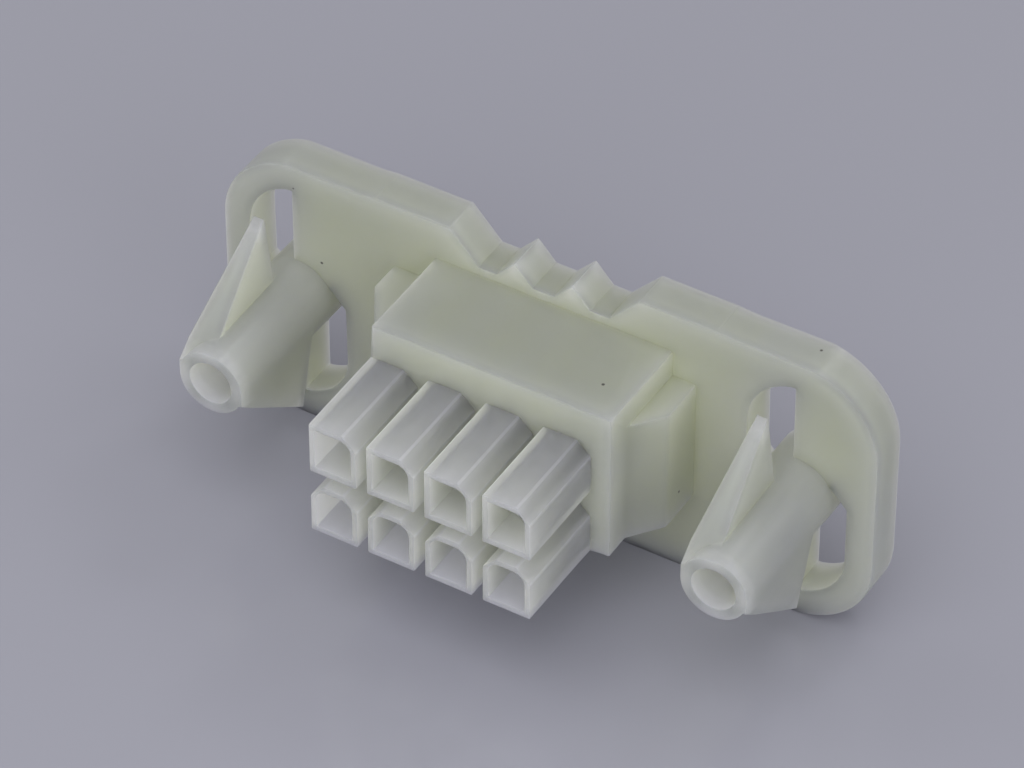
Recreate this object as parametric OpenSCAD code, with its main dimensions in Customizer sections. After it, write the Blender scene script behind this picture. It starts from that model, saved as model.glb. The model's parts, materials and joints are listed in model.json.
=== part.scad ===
// Panel-mount receptacle housing, two rows of contact silos, moulded in one piece.
// X runs along the flange, -Y points out of the mating side, +Z is up.
// The origin is midway between the two guide posts, on the front face of the flange.

/* [Contact silos] */
// Number of silos in each row
columns = 4; // [2:1:8]
// Distance between neighbouring silos in a row
pitch = 4.2; // [4:0.1:5]
// Distance between the two rows
row_pitch = 5; // [4.6:0.1:6]
// Outer width of a silo
silo_w = 3.45; // [3.2:0.05:3.7]
// Outer height of a silo
silo_h = 3.9; // [3.6:0.1:4.3]
// Length of a silo in front of the nose
silo_len = 7.35; // [5:0.05:10]
// Wall thickness of a silo
silo_wall = 0.42; // [0.35:0.01:0.6]
// Size of the keying cut on the top corners of a silo
key_cut = 1; // [0.6:0.1:1.3]
// Height of the middle of the two rows above the post axis
array_z = 0.4; // [-0.5:0.1:1]

/* [Nose] */
// Distance that the nose stands out of the flange
nose_len = 7.65; // [6:0.05:10]
// Nose to the right of the silos
nose_right = 1.4; // [1:0.1:2.5]
// Nose above the silos
nose_top = 2.6; // [2:0.1:3]

/* [Shoulders] */
// Shoulder beyond the silos at each side
shoulder_side = 3.1; // [2.6:0.1:4]
// Drop from the nose top to the shoulder top
shoulder_drop = 2; // [1:0.1:3]
// Straight depth of the left shoulder
left_depth = 2.3; // [1.5:0.1:3.5]
// Straight depth of the right shoulder
right_depth = 3.4; // [2:0.1:4]
// Reach of the left slanted face
left_reach = 7.3; // [5:0.1:7.5]
// Reach of the right slanted face
right_reach = 5.6; // [5:0.1:7.5]

/* [Flange] */
// Flange beyond the silos at each end
flange_end = 16; // [15:0.5:22]
// Height of the flange
flange_h = 20.8; // [20:0.1:26]
// Thickness of the flange
flange_t = 3; // [2:0.1:4]
// Corner radius of the flange
flange_r = 6; // [3:0.5:8]
// Depth of the shallow step in the top edge
rim_step = 0.12; // [0.05:0.01:0.3]
// Distance from the post axis to that step
rim_step_in = 4.8; // [4:0.1:6]

/* [Notch] */
// Width of the notch at the flange edge
notch_top_w = 13.8; // [13:0.1:16]
// Width of the notch floor
notch_floor_w = 9.5; // [9:0.1:12]
// Depth of the notch
notch_d = 2.3; // [1.9:0.1:2.6]
// Distance between the two ridges
ridge_pitch = 4.2; // [3.6:0.1:5]
// Width of a ridge at its foot
ridge_w = 2.7; // [2:0.1:3.2]
// Height of a ridge
ridge_h = 1.45; // [1:0.05:1.8]

/* [Guide posts] */
// Distance from the post axis to the flange end
post_inset = 5.6; // [5.4:0.1:6.4]
// Length of a post in front of the flange
post_len = 10.5; // [8:0.1:14]
// Diameter of a post at its tip
post_tip_d = 4.7; // [4.4:0.1:5.2]
// Diameter of a post at the flange
post_base_d = 5.3; // [5.2:0.1:6]
// Diameter of the bore through a post
post_bore_d = 3.1; // [2:0.1:3.4]

/* [Retaining fins] */
// Distance from the post axis to the near side of a ledge
fin_near = 0.9; // [0.5:0.05:1.2]
// Width of a ledge at its outer end
fin_w = 0.75; // [0.5:0.05:1]
// Height of the ramp at the post tip
fin_tip_h = 1; // [0.4:0.1:1.8]
// Distance from the outer end of a ledge to the end of its window
fin_clear = 0.9; // [0.5:0.1:1.5]
// Gap between a ledge and the flange
panel_gap = 2.4; // [1:0.1:3]

/* [Windows] */
// Distance from the post axis to the near side of a window
window_near = 0.3; // [0.2:0.05:0.4]
// Flange left between a window and the flange edge
window_rim = 2; // [1.5:0.1:2.5]
// Distance that a window runs past the post axis
window_past = 1.3; // [0.8:0.1:1.6]

/* [Rear collar] */
// Length of the collar behind the flange
collar_len = 2; // [1:0.1:3]
// Collar around the silos
collar_side = 0.9; // [0.6:0.1:1.4]
// Width of a terminal entry
entry_w = 3.3; // [2.8:0.1:3.4]
// Height of a terminal entry
entry_h = 3.6; // [3.2:0.1:3.9]

/* [Hidden] */
$fn = 96;
lap = 0.4;
array_half = (columns - 1) * pitch / 2 + silo_w / 2;
array_half_h = row_pitch / 2 + silo_h / 2;
array_bottom = array_z - array_half_h;
array_top = array_z + array_half_h;
flange_half = array_half + flange_end;
post_x = flange_half - post_inset;
tip_y = -nose_len - silo_len;
nose_top_z = array_top + nose_top;
shoulder_top_z = nose_top_z - shoulder_drop;
shoulder_half = array_half + shoulder_side;
nose_right_x = array_half + nose_right;
notch_floor_z = flange_h / 2 - notch_d;
rear_y = flange_t + collar_len;
bore_w = silo_w - 2 * silo_wall;
bore_h = silo_h - 2 * silo_wall;
bore_r = key_cut * 0.8;
window_out = flange_h / 2 - window_rim;
fin_h = window_out - fin_clear;
silo_xs = [for (i = [0 : columns - 1]) (i - (columns - 1) / 2) * pitch];

// Extrudes a front view (x, z) between two depths along Y.
module slab(y_front, y_rear) {
    translate([0, y_rear, 0])
        rotate([90, 0, 0])
            linear_extrude(y_rear - y_front)
                children();
}

// Front view of a rectangle with four round corners.
module rounded_rect(w, h, r) {
    square([w - 2 * r, h], center = true);
    square([w, h - 2 * r], center = true);
    for (sx = [-1, 1])
        for (sz = [-1, 1])
            translate([sx * (w / 2 - r), sz * (h / 2 - r)])
                circle(r);
}

// Front view of the notch in the top edge, open upwards.
module notch_shape() {
    rise = lap * (notch_top_w - notch_floor_w) / 2 / notch_d;
    top = flange_h / 2;
    polygon([
        [-notch_floor_w / 2, notch_floor_z],
        [notch_floor_w / 2, notch_floor_z],
        [notch_top_w / 2 + rise, top + lap],
        [-notch_top_w / 2 - rise, top + lap]
    ]);
}

// Front view of the shallow cut in the top edge above one post.
module rim_step_shape() {
    translate([post_x - rim_step_in, flange_h / 2 - rim_step])
        square([flange_half - post_x + rim_step_in + lap, rim_step + lap]);
}

// Front view of one ridge on the notch floor.
module ridge_shape() {
    polygon([
        [-ridge_w / 2, notch_floor_z],
        [-ridge_w / 2, notch_floor_z - lap],
        [ridge_w / 2, notch_floor_z - lap],
        [ridge_w / 2, notch_floor_z],
        [0, notch_floor_z + ridge_h]
    ]);
}

// Front view of the window behind the lower fin, in step with the flange's round end.
module window_shape() {
    intersection() {
        translate([-post_x, 0])
            rounded_rect(2 * (flange_half - window_rim), 2 * window_out, flange_r - window_rim);
        polygon([
            [window_near, -flange_h / 2],
            [post_inset, -flange_h / 2],
            [post_inset, -window_rim],
            [post_inset - window_rim - window_past, window_past],
            [window_near, window_past]
        ]);
    }
}

// Front view of the two windows beside one post, on opposite sides of its axis.
module window_pair() {
    difference() {
        for (turn = [0, 180])
            rotate(turn)
                window_shape();
        circle(d = post_base_d);
    }
}

// Flange with its notch, ridges and windows.
module flange() {
    slab(0, flange_t) {
        difference() {
            rounded_rect(2 * flange_half, flange_h, flange_r);
            notch_shape();
            rim_step_shape();
            mirror([1, 0])
                rim_step_shape();
            for (side = [-1, 1])
                translate([side * post_x, 0])
                    window_pair();
        }
        for (side = [-1, 1])
            translate([side * ridge_pitch / 2, 0])
                ridge_shape();
    }
}

// Nose that carries the silos.
module nose() {
    translate([-array_half, -nose_len, array_bottom])
        cube([array_half + nose_right_x, nose_len + lap, nose_top_z - array_bottom]);
}

// Shoulders that widen the root of the nose, drawn in plan.
module shoulders() {
    translate([0, 0, array_bottom])
        linear_extrude(shoulder_top_z - array_bottom)
            polygon([
                [-shoulder_half, lap],
                [-shoulder_half, -left_depth],
                [-array_half, -left_reach],
                [nose_right_x, -right_reach],
                [shoulder_half, -right_depth],
                [shoulder_half, lap]
            ]);
}

// Front view of a silo, with the named top corners cut off.
module silo_shape(cut_left, cut_right) {
    x = silo_w / 2;
    z = silo_h / 2;
    polygon(concat(
        [[-x, -z], [x, -z]],
        cut_right ? [[x, z - key_cut], [x - key_cut, z]] : [[x, z]],
        cut_left ? [[key_cut - x, z], [-x, z - key_cut]] : [[-x, z]]
    ));
}

// Front view of the bore of a silo, round in the corners that are cut outside.
module bore_shape(cut_left, cut_right) {
    x = bore_w / 2;
    z = bore_h / 2;
    left = cut_left ? bore_r : 0;
    right = cut_right ? bore_r : 0;
    translate([-x, -z])
        square([2 * x, 2 * z - bore_r]);
    translate([left - x, -z])
        square([2 * x - left - right, 2 * z]);
    if (cut_left)
        translate([bore_r - x, z - bore_r])
            circle(bore_r);
    if (cut_right)
        translate([x - bore_r, z - bore_r])
            circle(bore_r);
}

// Places a child on each silo axis of the upper row.
module on_upper_row() {
    for (x = silo_xs)
        translate([x, 0, array_z + row_pitch / 2])
            children();
}

// Places a child on each silo axis of the lower row.
module on_lower_row() {
    for (x = silo_xs)
        translate([x, 0, array_z - row_pitch / 2])
            children();
}

// All silos as solid bars.
module silos() {
    on_upper_row()
        slab(tip_y, lap - nose_len)
            silo_shape(false, true);
    on_lower_row()
        slab(tip_y, lap - nose_len)
            silo_shape(true, true);
}

// Bores through the silos and the wider terminal entries behind them.
module terminal_cavities() {
    on_upper_row()
        slab(tip_y - lap, lap)
            bore_shape(false, true);
    on_lower_row()
        slab(tip_y - lap, lap)
            bore_shape(true, true);
    on_upper_row()
        slab(0, rear_y + lap)
            square([entry_w, entry_h], center = true);
    on_lower_row()
        slab(0, rear_y + lap)
            square([entry_w, entry_h], center = true);
}

// One retaining fin: a wedge on the side of the post, cut to a ramp from the post tip to a ledge.
module fin() {
    intersection() {
        slab(-post_len, -panel_gap)
            polygon([
                [0, 0],
                [fin_near, -fin_h],
                [fin_near + fin_w, -fin_h],
                [post_base_d / 2, 0]
            ]);
        rotate([90, 0, 90])
            linear_extrude(post_base_d)
                polygon([
                    [-post_len, 0],
                    [-panel_gap, 0],
                    [-panel_gap, -fin_h],
                    [-post_len, -fin_tip_h]
                ]);
        translate([0, 0, -fin_h])
            linear_extrude(fin_h)
                polygon([
                    [0, 0],
                    [0, -post_len],
                    [post_tip_d / 2, -post_len],
                    [post_base_d / 2, 0]
                ]);
    }
}

// Guide post without its bore: a tapered tube, a collar in the flange and two fins.
module guide_post() {
    rotate([90, 0, 0])
        cylinder(h = post_len, d1 = post_base_d, d2 = post_tip_d);
    slab(0, flange_t)
        circle(d = post_base_d);
    fin();
    rotate([0, 180, 0])
        fin();
}

// Collar around the terminal entries on the rear of the flange.
module rear_collar() {
    x = array_half + collar_side;
    translate([-x, flange_t - lap, array_bottom - collar_side])
        cube([2 * x, collar_len + lap, 2 * array_half_h + 2 * collar_side]);
}

module housing() {
    color([0.87, 0.9, 0.78])
        difference() {
            union() {
                flange();
                nose();
                shoulders();
                silos();
                rear_collar();
                for (side = [-1, 1])
                    translate([side * post_x, 0, 0])
                        guide_post();
            }
            terminal_cavities();
            for (side = [-1, 1])
                translate([side * post_x, rear_y, 0])
                    rotate([90, 0, 0])
                        cylinder(h = rear_y + post_len + lap, d = post_bore_d);
        }
}

housing();
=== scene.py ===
"""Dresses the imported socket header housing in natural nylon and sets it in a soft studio."""

from __future__ import annotations

import json
import logging
import math
from dataclasses import dataclass, field
from enum import Enum
from typing import Any, Mapping, Union

import bmesh
import bpy
from mathutils import Matrix, Vector

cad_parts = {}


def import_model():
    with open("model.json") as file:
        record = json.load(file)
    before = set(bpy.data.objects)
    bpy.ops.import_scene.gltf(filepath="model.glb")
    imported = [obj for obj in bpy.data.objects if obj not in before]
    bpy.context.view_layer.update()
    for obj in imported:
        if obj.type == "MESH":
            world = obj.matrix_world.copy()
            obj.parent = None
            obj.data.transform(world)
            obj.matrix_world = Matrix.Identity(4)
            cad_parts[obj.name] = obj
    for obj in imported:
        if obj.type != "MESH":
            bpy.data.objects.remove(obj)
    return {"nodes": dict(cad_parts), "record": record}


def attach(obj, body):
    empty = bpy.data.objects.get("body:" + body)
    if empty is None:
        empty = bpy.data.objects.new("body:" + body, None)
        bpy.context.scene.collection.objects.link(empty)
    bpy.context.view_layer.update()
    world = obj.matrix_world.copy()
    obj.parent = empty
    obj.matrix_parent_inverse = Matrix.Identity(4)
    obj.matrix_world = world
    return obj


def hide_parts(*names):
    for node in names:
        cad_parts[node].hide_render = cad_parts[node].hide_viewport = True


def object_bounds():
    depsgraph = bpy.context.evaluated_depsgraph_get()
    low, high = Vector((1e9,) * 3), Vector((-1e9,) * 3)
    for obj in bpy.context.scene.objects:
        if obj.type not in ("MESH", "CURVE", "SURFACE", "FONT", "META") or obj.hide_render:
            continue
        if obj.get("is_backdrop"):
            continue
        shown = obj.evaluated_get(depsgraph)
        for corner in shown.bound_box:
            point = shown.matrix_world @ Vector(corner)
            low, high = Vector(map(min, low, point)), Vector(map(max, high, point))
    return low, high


LOG = logging.getLogger("housing")
MM = 0.001
HIGHLIGHT_LAYER = "ridge"
OCCLUSION_RAYS = 2
NOISE_MIDDLE = 0.5

# Socket numbers of a Mix node that mixes colours.
MIX_SHARE = 0
MIX_FIRST = 6
MIX_SECOND = 7
MIX_RESULT = 2

Colour = tuple[float, float, float]
Point = tuple[float, float, float]
Stops = tuple[tuple[float, float], ...]
Number = Union[int, float]


class Wire:
    """One value output of a shader graph; arithmetic on it adds Math nodes."""

    def __init__(self, graph: "Graph", socket: bpy.types.NodeSocket) -> None:
        """Keeps the socket and the graph that it belongs to."""
        self.graph = graph
        self.socket = socket

    def _math(self, operation: str, first: Operand, second: Operand) -> Wire:
        """Adds a Math node with this operation on the two operands and returns its result."""
        return self.graph.node("ShaderNodeMath", {"operation": operation}, {0: first, 1: second}, "Value")

    def __add__(self, other: Operand) -> Wire:
        """Returns self + other."""
        return self._math("ADD", self, other)

    def __radd__(self, other: Operand) -> Wire:
        """Returns other + self."""
        return self._math("ADD", other, self)

    def __sub__(self, other: Operand) -> Wire:
        """Returns self - other."""
        return self._math("SUBTRACT", self, other)

    def __rsub__(self, other: Operand) -> Wire:
        """Returns other - self."""
        return self._math("SUBTRACT", other, self)

    def __mul__(self, other: Operand) -> Wire:
        """Returns self * other."""
        return self._math("MULTIPLY", self, other)

    def __rmul__(self, other: Operand) -> Wire:
        """Returns other * self."""
        return self._math("MULTIPLY", other, self)

    def __pow__(self, other: Operand) -> Wire:
        """Returns self raised to other."""
        return self._math("POWER", self, other)

    def __rpow__(self, other: Operand) -> Wire:
        """Returns other raised to self."""
        return self._math("POWER", other, self)

    def __lt__(self, other: Operand) -> Wire:
        """Returns 1 where self is less than other, else 0."""
        return self._math("LESS_THAN", self, other)

    def __gt__(self, other: Operand) -> Wire:
        """Returns 1 where other is less than self, else 0."""
        return self._math("LESS_THAN", other, self)


Operand = Union[Wire, Number]
Feed = Union[Wire, Number, Colour]


@dataclass(frozen=True)
class Grain:
    """The pattern of a noise texture.

    The size is that of the largest blotches, in metres, and the roughness is the strength of the fine ones.
    """

    size: float
    octaves: float
    roughness: float


class Graph:
    """The shader graph of one material."""

    def __init__(self, name: str) -> None:
        """Makes a node material that holds only its output.

        Args:
            name: The material's name.
        """
        self.material = bpy.data.materials.new(name)
        self.material.use_nodes = True
        self.tree = self.material.node_tree
        self.tree.nodes.remove(self.tree.nodes["Principled BSDF"])

    def node(
        self,
        kind: str,
        settings: Mapping[str, Any],
        feeds: Mapping[Union[str, int], Feed],
        output: Union[str, int] = 0,
    ) -> Wire:
        """Adds one node, sets it up and feeds its sockets.

        Args:
            kind: The node's type.
            settings: Properties to set first; "stops" holds a ramp's (position, grey level) pairs.
            feeds: Values or wires by socket name or number.
            output: The name or number of the output to hand back.

        Returns:
            The wire of that output.
        """
        made = self.tree.nodes.new(kind)
        for key, value in settings.items():
            if key == "stops":
                self._set_stops(made.color_ramp, value)
            else:
                setattr(made, key, value)
        for key, value in feeds.items():
            socket = made.inputs[key]
            if isinstance(value, Wire):
                self.tree.links.new(value.socket, socket)
            elif socket.type == "RGBA":
                socket.default_value = (*value, 1.0)
            else:
                socket.default_value = value
        return Wire(self, made.outputs[output])

    @staticmethod
    def _set_stops(ramp: bpy.types.ColorRamp, stops: Stops) -> None:
        """Gives a ramp its grey stops.

        Args:
            ramp: The ramp to set.
            stops: Pairs of position and grey level, in rising order.
        """
        while len(ramp.elements) < len(stops):
            ramp.elements.new(1.0)
        for element, (place, grey) in zip(ramp.elements, stops):
            element.position = place
            element.color = (grey, grey, grey, 1.0)

    def noise(self, coords: Wire, grain: Grain) -> Wire:
        """Adds a noise texture.

        Args:
            coords: The texture coordinates.
            grain: The pattern.

        Returns:
            The noise, from 0 to 1.
        """
        feeds = {
            "Vector": coords,
            "Scale": 1.0 / grain.size,
            "Detail": grain.octaves,
            "Roughness": grain.roughness,
        }
        return self.node("ShaderNodeTexNoise", {"noise_dimensions": "3D"}, feeds, "Fac")

    def room(self, reach: float, inside: bool) -> Wire:
        """Returns how open a place is, from 0 to 1, for rays of this reach into the wall or out of it."""
        settings = {"inside": inside, "only_local": True, "samples": OCCLUSION_RAYS}
        return self.node("ShaderNodeAmbientOcclusion", settings, {"Distance": reach}, "AO")

    def ramp(self, value: Wire, stops: Stops) -> Wire:
        """Maps a value through a ramp of grey stops and returns the result."""
        return self.node("ShaderNodeValToRGB", {"stops": stops}, {"Fac": value}, "Color")

    def blend(self, share: Operand, first: Feed, second: Feed) -> Wire:
        """Mixes two colours and returns the result; share is how much of the second one shows."""
        feeds = {MIX_SHARE: share, MIX_FIRST: first, MIX_SECOND: second}
        return self.node("ShaderNodeMix", {"data_type": "RGBA"}, feeds, MIX_RESULT)

    def surface(self, shader: Wire) -> bpy.types.Material:
        """Connects the finished shader to the material's output and returns the material."""
        self.tree.links.new(shader.socket, self.tree.nodes["Material Output"].inputs["Surface"])
        return self.material


@dataclass(frozen=True)
class NaturalNylon:
    """Milky natural nylon: green-grey where it is thick, clearer where it is thin, with a satin skin.

    Light comes through the walls of such a part, and its colour paints that in: bores, gaps and thin walls
    are painted paler, convex edges get painted shade and the long edges of the silos a painted highlight.
    """

    thick: Colour = (0.343, 0.359, 0.302)
    thin: Colour = (0.326, 0.338, 0.342)
    # Painted light on thin walls.
    sheer_painted_light: Colour = (0.660, 0.675, 0.660)
    # Painted shade on the convex edges.
    edge: Colour = (0.205, 0.215, 0.219)
    # Painted light in enclosed places: bores, gaps and corners, and enclosed thin walls.
    painted_glow: Colour = (0.700, 0.728, 0.570)
    painted_sheer_glow: Colour = (0.970, 0.990, 0.870)
    # Painted highlight on the long edges of the silos.
    ridge: Colour = (0.800, 0.820, 0.800)
    speck: Colour = (0.060, 0.060, 0.055)
    thick_reach: float = 3.2 * MM
    thick_stops: Stops = ((0.35, 0.0), (0.8, 1.0))
    edge_shade_reach: float = 0.7 * MM
    edge_shade_stops: Stops = ((0.3, 0.0), (0.5, 1.0), (0.95, 0.0))
    sheer_reach: float = 1.2 * MM
    sheer_stops: Stops = ((0.12, 1.0), (0.32, 0.0))
    painted_glow_reach: float = 14.0 * MM
    painted_glow_falloff: float = 1.5
    painted_highlight_share: float = 0.7
    cloud_grain: Grain = Grain(size=6.0 * MM, octaves=3.0, roughness=0.5)
    cloud_share: float = 0.15
    swirl_grain: Grain = Grain(size=1.4 * MM, octaves=4.0, roughness=0.55)
    swirl_height: float = 0.6
    skin_grain: Grain = Grain(size=0.2 * MM, octaves=2.0, roughness=0.6)
    relief: float = 0.02 * MM
    relief_strength: float = 0.12
    speck_spacing: float = 3.4 * MM
    speck_radius: float = 0.11 * MM
    scatter_radius: Colour = (1.0, 1.0, 0.8)
    scatter_depth: float = 10.0 * MM
    gloss: float = 0.34
    gloss_swirl: float = 0.12
    gloss_skin: float = 0.06
    index: float = 1.53

    def body(self, g: Graph, coords: Wire) -> Wire:
        """Works out the colour over the surface.

        Args:
            g: The material's graph.
            coords: The texture coordinates.

        Returns:
            The colour.
        """
        cloud = g.noise(coords, self.cloud_grain)
        solid = g.room(self.thick_reach, inside=True)
        wall = solid * (1.0 - self.cloud_share) + cloud * self.cloud_share
        tone = g.blend(g.ramp(wall, self.thick_stops), self.thin, self.thick)
        # Painted shade: convex edges are painted darker, to hold back the light that scattering gathers
        # there.
        rim = g.ramp(g.room(self.edge_shade_reach, inside=True), self.edge_shade_stops)
        tone = g.blend(rim, tone, self.edge)
        # Painted light: where the part is enclosed, in bores, gaps and corners, it is painted paler,
        # standing in for light that comes through the walls.
        closed = 1.0 - g.room(self.painted_glow_reach, inside=False)
        tone = g.blend(closed ** self.painted_glow_falloff, tone, self.painted_glow)
        # Painted light: thin walls are painted much paler, paler still where enclosed, standing in for
        # light that shines through them.
        sheer_painted_light = g.ramp(g.room(self.sheer_reach, inside=True), self.sheer_stops)
        tone = g.blend(sheer_painted_light, tone, g.blend(closed, self.sheer_painted_light, self.painted_sheer_glow))
        # Painted highlight: the rounded long edges of the silos are painted pale.
        ridge = g.node("ShaderNodeAttribute", {"attribute_name": HIGHLIGHT_LAYER}, {}, "Fac")
        tone = g.blend(ridge * self.painted_highlight_share, tone, self.ridge)
        feeds = {"Vector": coords, "Scale": 1.0 / self.speck_spacing}
        away = g.node("ShaderNodeTexVoronoi", {"feature": "F1"}, feeds, "Distance")
        return g.blend(away < self.speck_radius / self.speck_spacing, tone, self.speck)

    def material(self) -> bpy.types.Material:
        """Builds the material.

        Returns:
            The finished node material.
        """
        g = Graph("natural_nylon")
        coords = g.node("ShaderNodeTexCoord", {}, {}, "Object")
        skin = g.noise(coords, self.skin_grain)
        swirl = g.noise(coords, self.swirl_grain)
        bump = {
            "Strength": self.relief_strength,
            "Distance": self.relief,
            "Height": skin + swirl * self.swirl_height,
        }
        uneven = self.gloss + (swirl - NOISE_MIDDLE) * self.gloss_swirl
        feeds = {
            "Base Color": self.body(g, coords),
            "Roughness": uneven + (skin - NOISE_MIDDLE) * self.gloss_skin,
            "IOR": self.index,
            "Subsurface Weight": 1.0,
            "Subsurface Radius": self.scatter_radius,
            "Subsurface Scale": self.scatter_depth,
            "Normal": g.node("ShaderNodeBump", {}, bump, "Normal"),
        }
        settings = {"subsurface_method": "RANDOM_WALK"}
        return g.surface(g.node("ShaderNodeBsdfPrincipled", settings, feeds, "BSDF"))


class Region(Enum):
    """The part of the moulding that an edge lies on."""

    FLANGE = "flange"
    NOSE = "nose"
    SILOS = "silos"
    POSTS = "posts"


@dataclass
class Housing:
    """The one-piece moulding, with the soft edges of a moulded part.

    Places are distances from the frame's origin or from a post's axis, in metres. Angles are in degrees.
    """

    post_x: float
    node_name: str = "housing"
    body_name: str = "root"
    slot_name: str = "natural_nylon"
    edge_widths: Mapping[Region, float] = field(
        default_factory=lambda: {
            Region.FLANGE: 0.11 * MM,
            Region.NOSE: 0.20 * MM,
            Region.SILOS: 0.10 * MM,
            Region.POSTS: 0.09 * MM,
        }
    )
    edge_segments: int = 2
    edge_profile: float = 0.5
    edge_angle: float = 28.0
    crease_angle: float = 40.0
    weld_gap: float = 0.002 * MM
    flat_angle: float = 0.5
    silo_start: float = 7.7 * MM
    nose_side: float = 11.4 * MM
    nose_start: float = 0.2 * MM
    fin_side: float = 4.2 * MM
    fin_start: float = 2.0 * MM
    root_radius: float = 3.0 * MM
    root_depth: float = 3.0 * MM
    step_in: float = 4.8 * MM
    step_slack: float = 0.06 * MM
    step_floor: float = 10.34 * MM
    step_ramp: float = 1.2 * MM
    highlight_strip_length: float = 3.0 * MM

    def at_root(self, corner: bmesh.types.BMVert) -> bool:
        """Tells whether a corner is at the root of a post, where fins and windows run into it."""
        away = math.hypot(abs(corner.co.x) - self.post_x, corner.co.z)
        return away < self.root_radius and corner.co.y > -self.root_depth

    def ease_step(self, work: bmesh.types.BMesh) -> None:
        """Turns the two low steps in the top of the rim into slopes, as a mould leaves them.

        Args:
            work: The mesh being softened.
        """
        for corner in work.verts:
            off_step = abs(abs(corner.co.x) - self.post_x + self.step_in)
            if off_step < self.step_slack and corner.co.z > self.step_floor:
                corner.co.x -= math.copysign(self.step_ramp, corner.co.x)

    def gets_painted_highlight(self, strip: bmesh.types.BMFace) -> bool:
        """Tells whether a softened strip runs along a silo, where it gets a painted highlight."""
        depths = [corner.co.y for corner in strip.verts]
        return max(depths) - min(depths) > self.highlight_strip_length

    def region_of(self, edge: bmesh.types.BMEdge) -> Region | None:
        """Finds the region of an edge that is to be softened.

        Args:
            edge: An edge of the moulding.

        Returns:
            Its region, or None where the edge stays as it is.
        """
        if not edge.is_convex or edge.calc_face_angle() < math.radians(self.edge_angle):
            return None
        if any(self.at_root(corner) for corner in edge.verts):
            return None
        x, y, _ = (edge.verts[0].co + edge.verts[1].co) / 2
        if abs(x) > self.post_x - self.fin_side and y < -self.fin_start:
            return Region.POSTS
        if y < -self.silo_start:
            return Region.SILOS
        if abs(x) < self.nose_side and y < -self.nose_start:
            return Region.NOSE
        return Region.FLANGE

    def join_faces(self, work: bmesh.types.BMesh) -> None:
        """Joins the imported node's triangles into whole faces.

        Args:
            work: The mesh of the node.
        """
        bmesh.ops.remove_doubles(work, verts=work.verts, dist=self.weld_gap)
        flat = math.radians(self.flat_angle)
        bmesh.ops.dissolve_limit(work, angle_limit=flat, verts=work.verts, edges=work.edges)

    def soften(self, work: bmesh.types.BMesh) -> None:
        """Rounds the outer edges region by region, and marks the long edges of the silos for a painted
        highlight.

        Args:
            work: The mesh being softened.
        """
        ridge = work.faces.layers.float.new(HIGHLIGHT_LAYER)
        for region, width in self.edge_widths.items():
            edges = [edge for edge in work.edges if self.region_of(edge) is region]
            strips = bmesh.ops.bevel(
                work, geom=edges, offset=width, offset_type="OFFSET", segments=self.edge_segments,
                profile=self.edge_profile, affect="EDGES", clamp_overlap=False, loop_slide=True,
            )["faces"]
            LOG.info("%s: %d edges softened", region.value, len(edges))
            if region is Region.SILOS:
                for strip in strips:
                    strip[ridge] = float(self.gets_painted_highlight(strip))
        bmesh.ops.dissolve_degenerate(work, dist=self.weld_gap, edges=work.edges)

    def shade(self, work: bmesh.types.BMesh) -> None:
        """Shades the faces smooth, apart from the creases between them.

        Args:
            work: The softened mesh.
        """
        for face in work.faces:
            face.smooth = True
        for edge in work.edges:
            edge.smooth = edge.calc_face_angle() < math.radians(self.crease_angle)

    def build(self, nodes: Mapping[str, bpy.types.Object]) -> bpy.types.Object:
        """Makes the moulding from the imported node, with its edges softened.

        Args:
            nodes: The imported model's objects by node name.

        Returns:
            The moulding, which stands for the node.
        """
        work = bmesh.new()
        work.from_mesh(nodes[self.node_name].data)
        self.join_faces(work)
        self.ease_step(work)
        self.soften(work)
        self.shade(work)
        mesh = bpy.data.meshes.new("moulding")
        work.to_mesh(mesh)
        work.free()
        shell = bpy.data.objects.new("moulding", mesh)
        bpy.context.scene.collection.objects.link(shell)
        shading = shell.modifiers.new("even_faces", "WEIGHTED_NORMAL")
        shading.keep_sharp = True
        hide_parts(self.node_name)
        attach(shell, self.body_name)
        return shell

    def dress(self, shell: bpy.types.Object, finish: NaturalNylon) -> None:
        """Gives the moulding its finish."""
        shell.data.materials.append(finish.material())


@dataclass(frozen=True)
class TableFinish:
    """Pale lavender-grey table with a soft polish."""

    tint: Colour = (0.378, 0.378, 0.443)
    gloss: float = 0.15
    index: float = 1.45
    cloud_grain: Grain = Grain(size=110.0 * MM, octaves=2.0, roughness=0.5)
    unevenness: float = 0.015

    def material(self) -> bpy.types.Material:
        """Builds the material.

        Returns:
            The finished node material.
        """
        g = Graph("pale_table")
        coords = g.node("ShaderNodeTexCoord", {}, {}, "Object")
        cloud = g.noise(coords, self.cloud_grain)
        darker = tuple((1.0 - self.unevenness) * c for c in self.tint)
        lighter = tuple((1.0 + self.unevenness) * c for c in self.tint)
        feeds = {"Base Color": g.blend(cloud, darker, lighter), "Roughness": self.gloss, "IOR": self.index}
        return g.surface(g.node("ShaderNodeBsdfPrincipled", {}, feeds, "BSDF"))


@dataclass
class Table:
    """The surface under the part."""

    half_width: float = 1.5

    def build(self, height: float) -> bpy.types.Object:
        """Makes the table's top.

        Args:
            height: The height of the top.

        Returns:
            The table object, marked as stage.
        """
        w = self.half_width
        mesh = bpy.data.meshes.new("table")
        mesh.from_pydata([(-w, -w, 0), (w, -w, 0), (w, w, 0), (-w, w, 0)], [], [(0, 1, 2, 3)])
        table = bpy.data.objects.new("table", mesh)
        table.location.z = height
        bpy.context.scene.collection.objects.link(table)
        table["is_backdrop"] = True
        return table

    def dress(self, table: bpy.types.Object, finish: TableFinish) -> None:
        """Gives the table its finish."""
        table.data.materials.append(finish.material())


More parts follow.
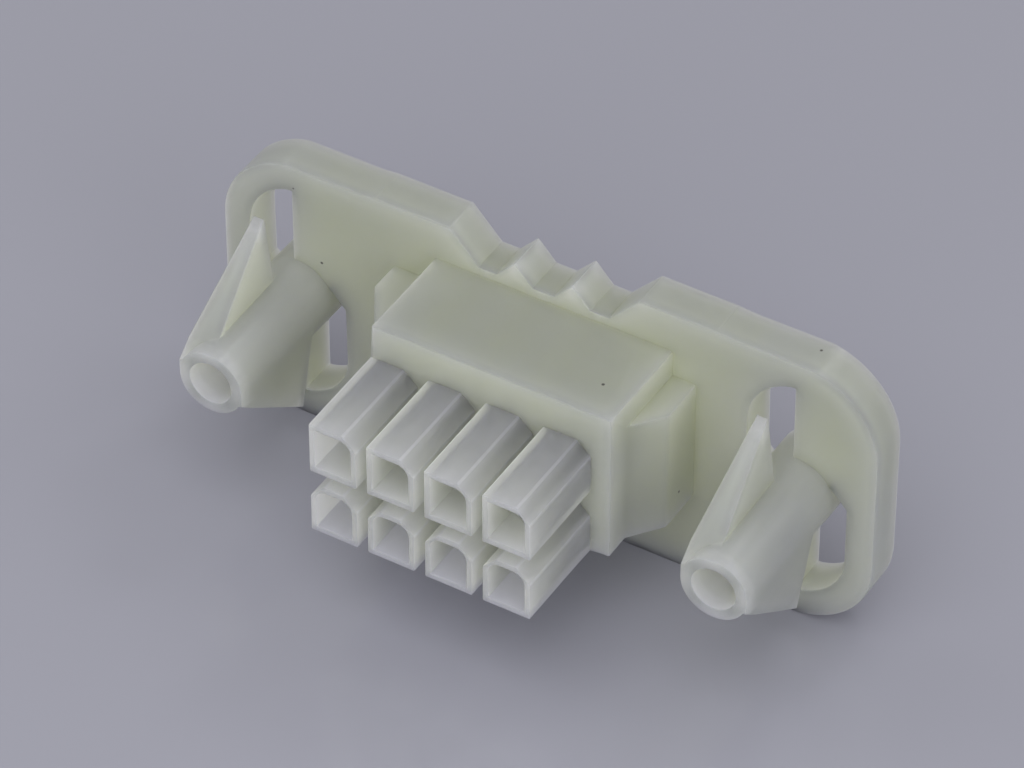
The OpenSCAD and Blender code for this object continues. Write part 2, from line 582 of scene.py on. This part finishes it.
@dataclass(frozen=True)
class SoftLamp:
    """One large round studio light that looks at the part.

    Angles are in degrees, lengths in metres and the power in watts.
    """

    name: str
    azimuth: float
    elevation: float
    distance: float
    size: float
    power: float

    def build(self, target: Vector) -> None:
        """Adds the lamp.

        Args:
            target: The point that it looks at.
        """
        lamp = bpy.data.lights.new(self.name, "AREA")
        lamp.shape = "DISK"
        lamp.size = self.size
        lamp.energy = self.power
        holder = bpy.data.objects.new(self.name, lamp)
        back = direction(self.azimuth, self.elevation)
        holder.location = target + back * self.distance
        holder.rotation_mode = "QUATERNION"
        holder.rotation_quaternion = (-back).to_track_quat("-Z", "Y")
        bpy.context.scene.collection.objects.link(holder)


@dataclass(frozen=True)
class Studio:
    """The even light round the part."""

    sky: Colour = (1.0, 1.0, 1.0)
    sky_strength: float = 0.37
    lamps: tuple[SoftLamp, ...] = (
        SoftLamp("front_fill", azimuth=14.0, elevation=8.0, distance=0.7, size=0.7, power=1.5),
        SoftLamp("edge_light", azimuth=170.0, elevation=50.0, distance=0.6, size=0.15, power=0.2),
        SoftLamp("view_fill", azimuth=10.0, elevation=62.0, distance=0.6, size=0.6, power=1.25),
        SoftLamp("side_light", azimuth=58.0, elevation=22.0, distance=0.6, size=0.4, power=0.9),
        SoftLamp("back_light", azimuth=125.0, elevation=40.0, distance=0.6, size=0.4, power=0.35),
        SoftLamp("left_fill", azimuth=-80.0, elevation=30.0, distance=0.6, size=0.5, power=0.6),
    )

    def build(self, target: Vector) -> None:
        """Lights the scene.

        Args:
            target: The point that the lamps look at.
        """
        world = bpy.data.worlds.new("studio")
        world.use_nodes = True
        backdrop = world.node_tree.nodes["Background"]
        backdrop.inputs["Color"].default_value = (*self.sky, 1.0)
        backdrop.inputs["Strength"].default_value = self.sky_strength
        bpy.context.scene.world = world
        for lamp in self.lamps:
            lamp.build(target)
        bpy.context.scene.view_settings.view_transform = "Standard"


@dataclass(frozen=True)
class PhotoCamera:
    """A long lens at the photograph's viewing angle.

    Angles are in degrees, the lens and the sensor in millimetres and the other lengths in metres.
    """

    azimuth: float = 31.05
    elevation: float = 41.68
    distance: float = 371.45 * MM
    nearest: float = 10.0 * MM
    lens: float = 205.1
    sensor: float = 36.0
    target: Point = (-1.73 * MM, -0.92 * MM, 0.32 * MM)

    def build(self) -> bpy.types.Object:
        """Adds the camera.

        Returns:
            The camera object, set as the scene's camera.
        """
        data = bpy.data.cameras.new("photo_camera")
        data.lens = self.lens
        data.sensor_width = self.sensor
        data.clip_start = self.nearest
        camera = bpy.data.objects.new("photo_camera", data)
        back = direction(self.azimuth, self.elevation)
        place = Matrix.Translation(Vector(self.target) + back * self.distance)
        camera.matrix_world = place @ (-back).to_track_quat("-Z", "Y").to_matrix().to_4x4()
        bpy.context.scene.collection.objects.link(camera)
        bpy.context.scene.camera = camera
        return camera


def direction(azimuth: float, elevation: float) -> Vector:
    """Points from the part towards a place round it.

    Args:
        azimuth: Degrees round the part; 0 is in front, on the -Y side, and 90 is on the +X side.
        elevation: Degrees above the horizon.

    Returns:
        The unit vector.
    """
    a, e = math.radians(azimuth), math.radians(elevation)
    return Vector((math.sin(a) * math.cos(e), -math.cos(a) * math.cos(e), math.sin(e)))


def post_offset(record: Mapping[str, Any]) -> float:
    """Reads how far the guide posts stand from the middle.

    Args:
        record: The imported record.

    Returns:
        Half the distance between the two posts, in metres.
    """
    bores = next(mount for mount in record["mounts"] if mount["kind"] == "bolt_pattern")
    return bores["dims"]["spacing_x_mm"] / 2 * MM


def main() -> None:
    """Builds the scene in order and reports each piece."""
    logging.basicConfig(level=logging.INFO, format="%(name)s: %(message)s")
    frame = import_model()
    cad_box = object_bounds()
    PhotoCamera().build()
    LOG.info("camera set")
    housing = Housing(post_offset(frame["record"]))
    shell = housing.build(frame["nodes"])
    housing.dress(shell, NaturalNylon())
    LOG.info("%s dressed", shell.name)
    table = Table()
    table.dress(table.build(cad_box[0].z), TableFinish())
    Studio().build((cad_box[0] + cad_box[1]) / 2)
    LOG.info("table and lights set")


if __name__ == "__main__":
    main()
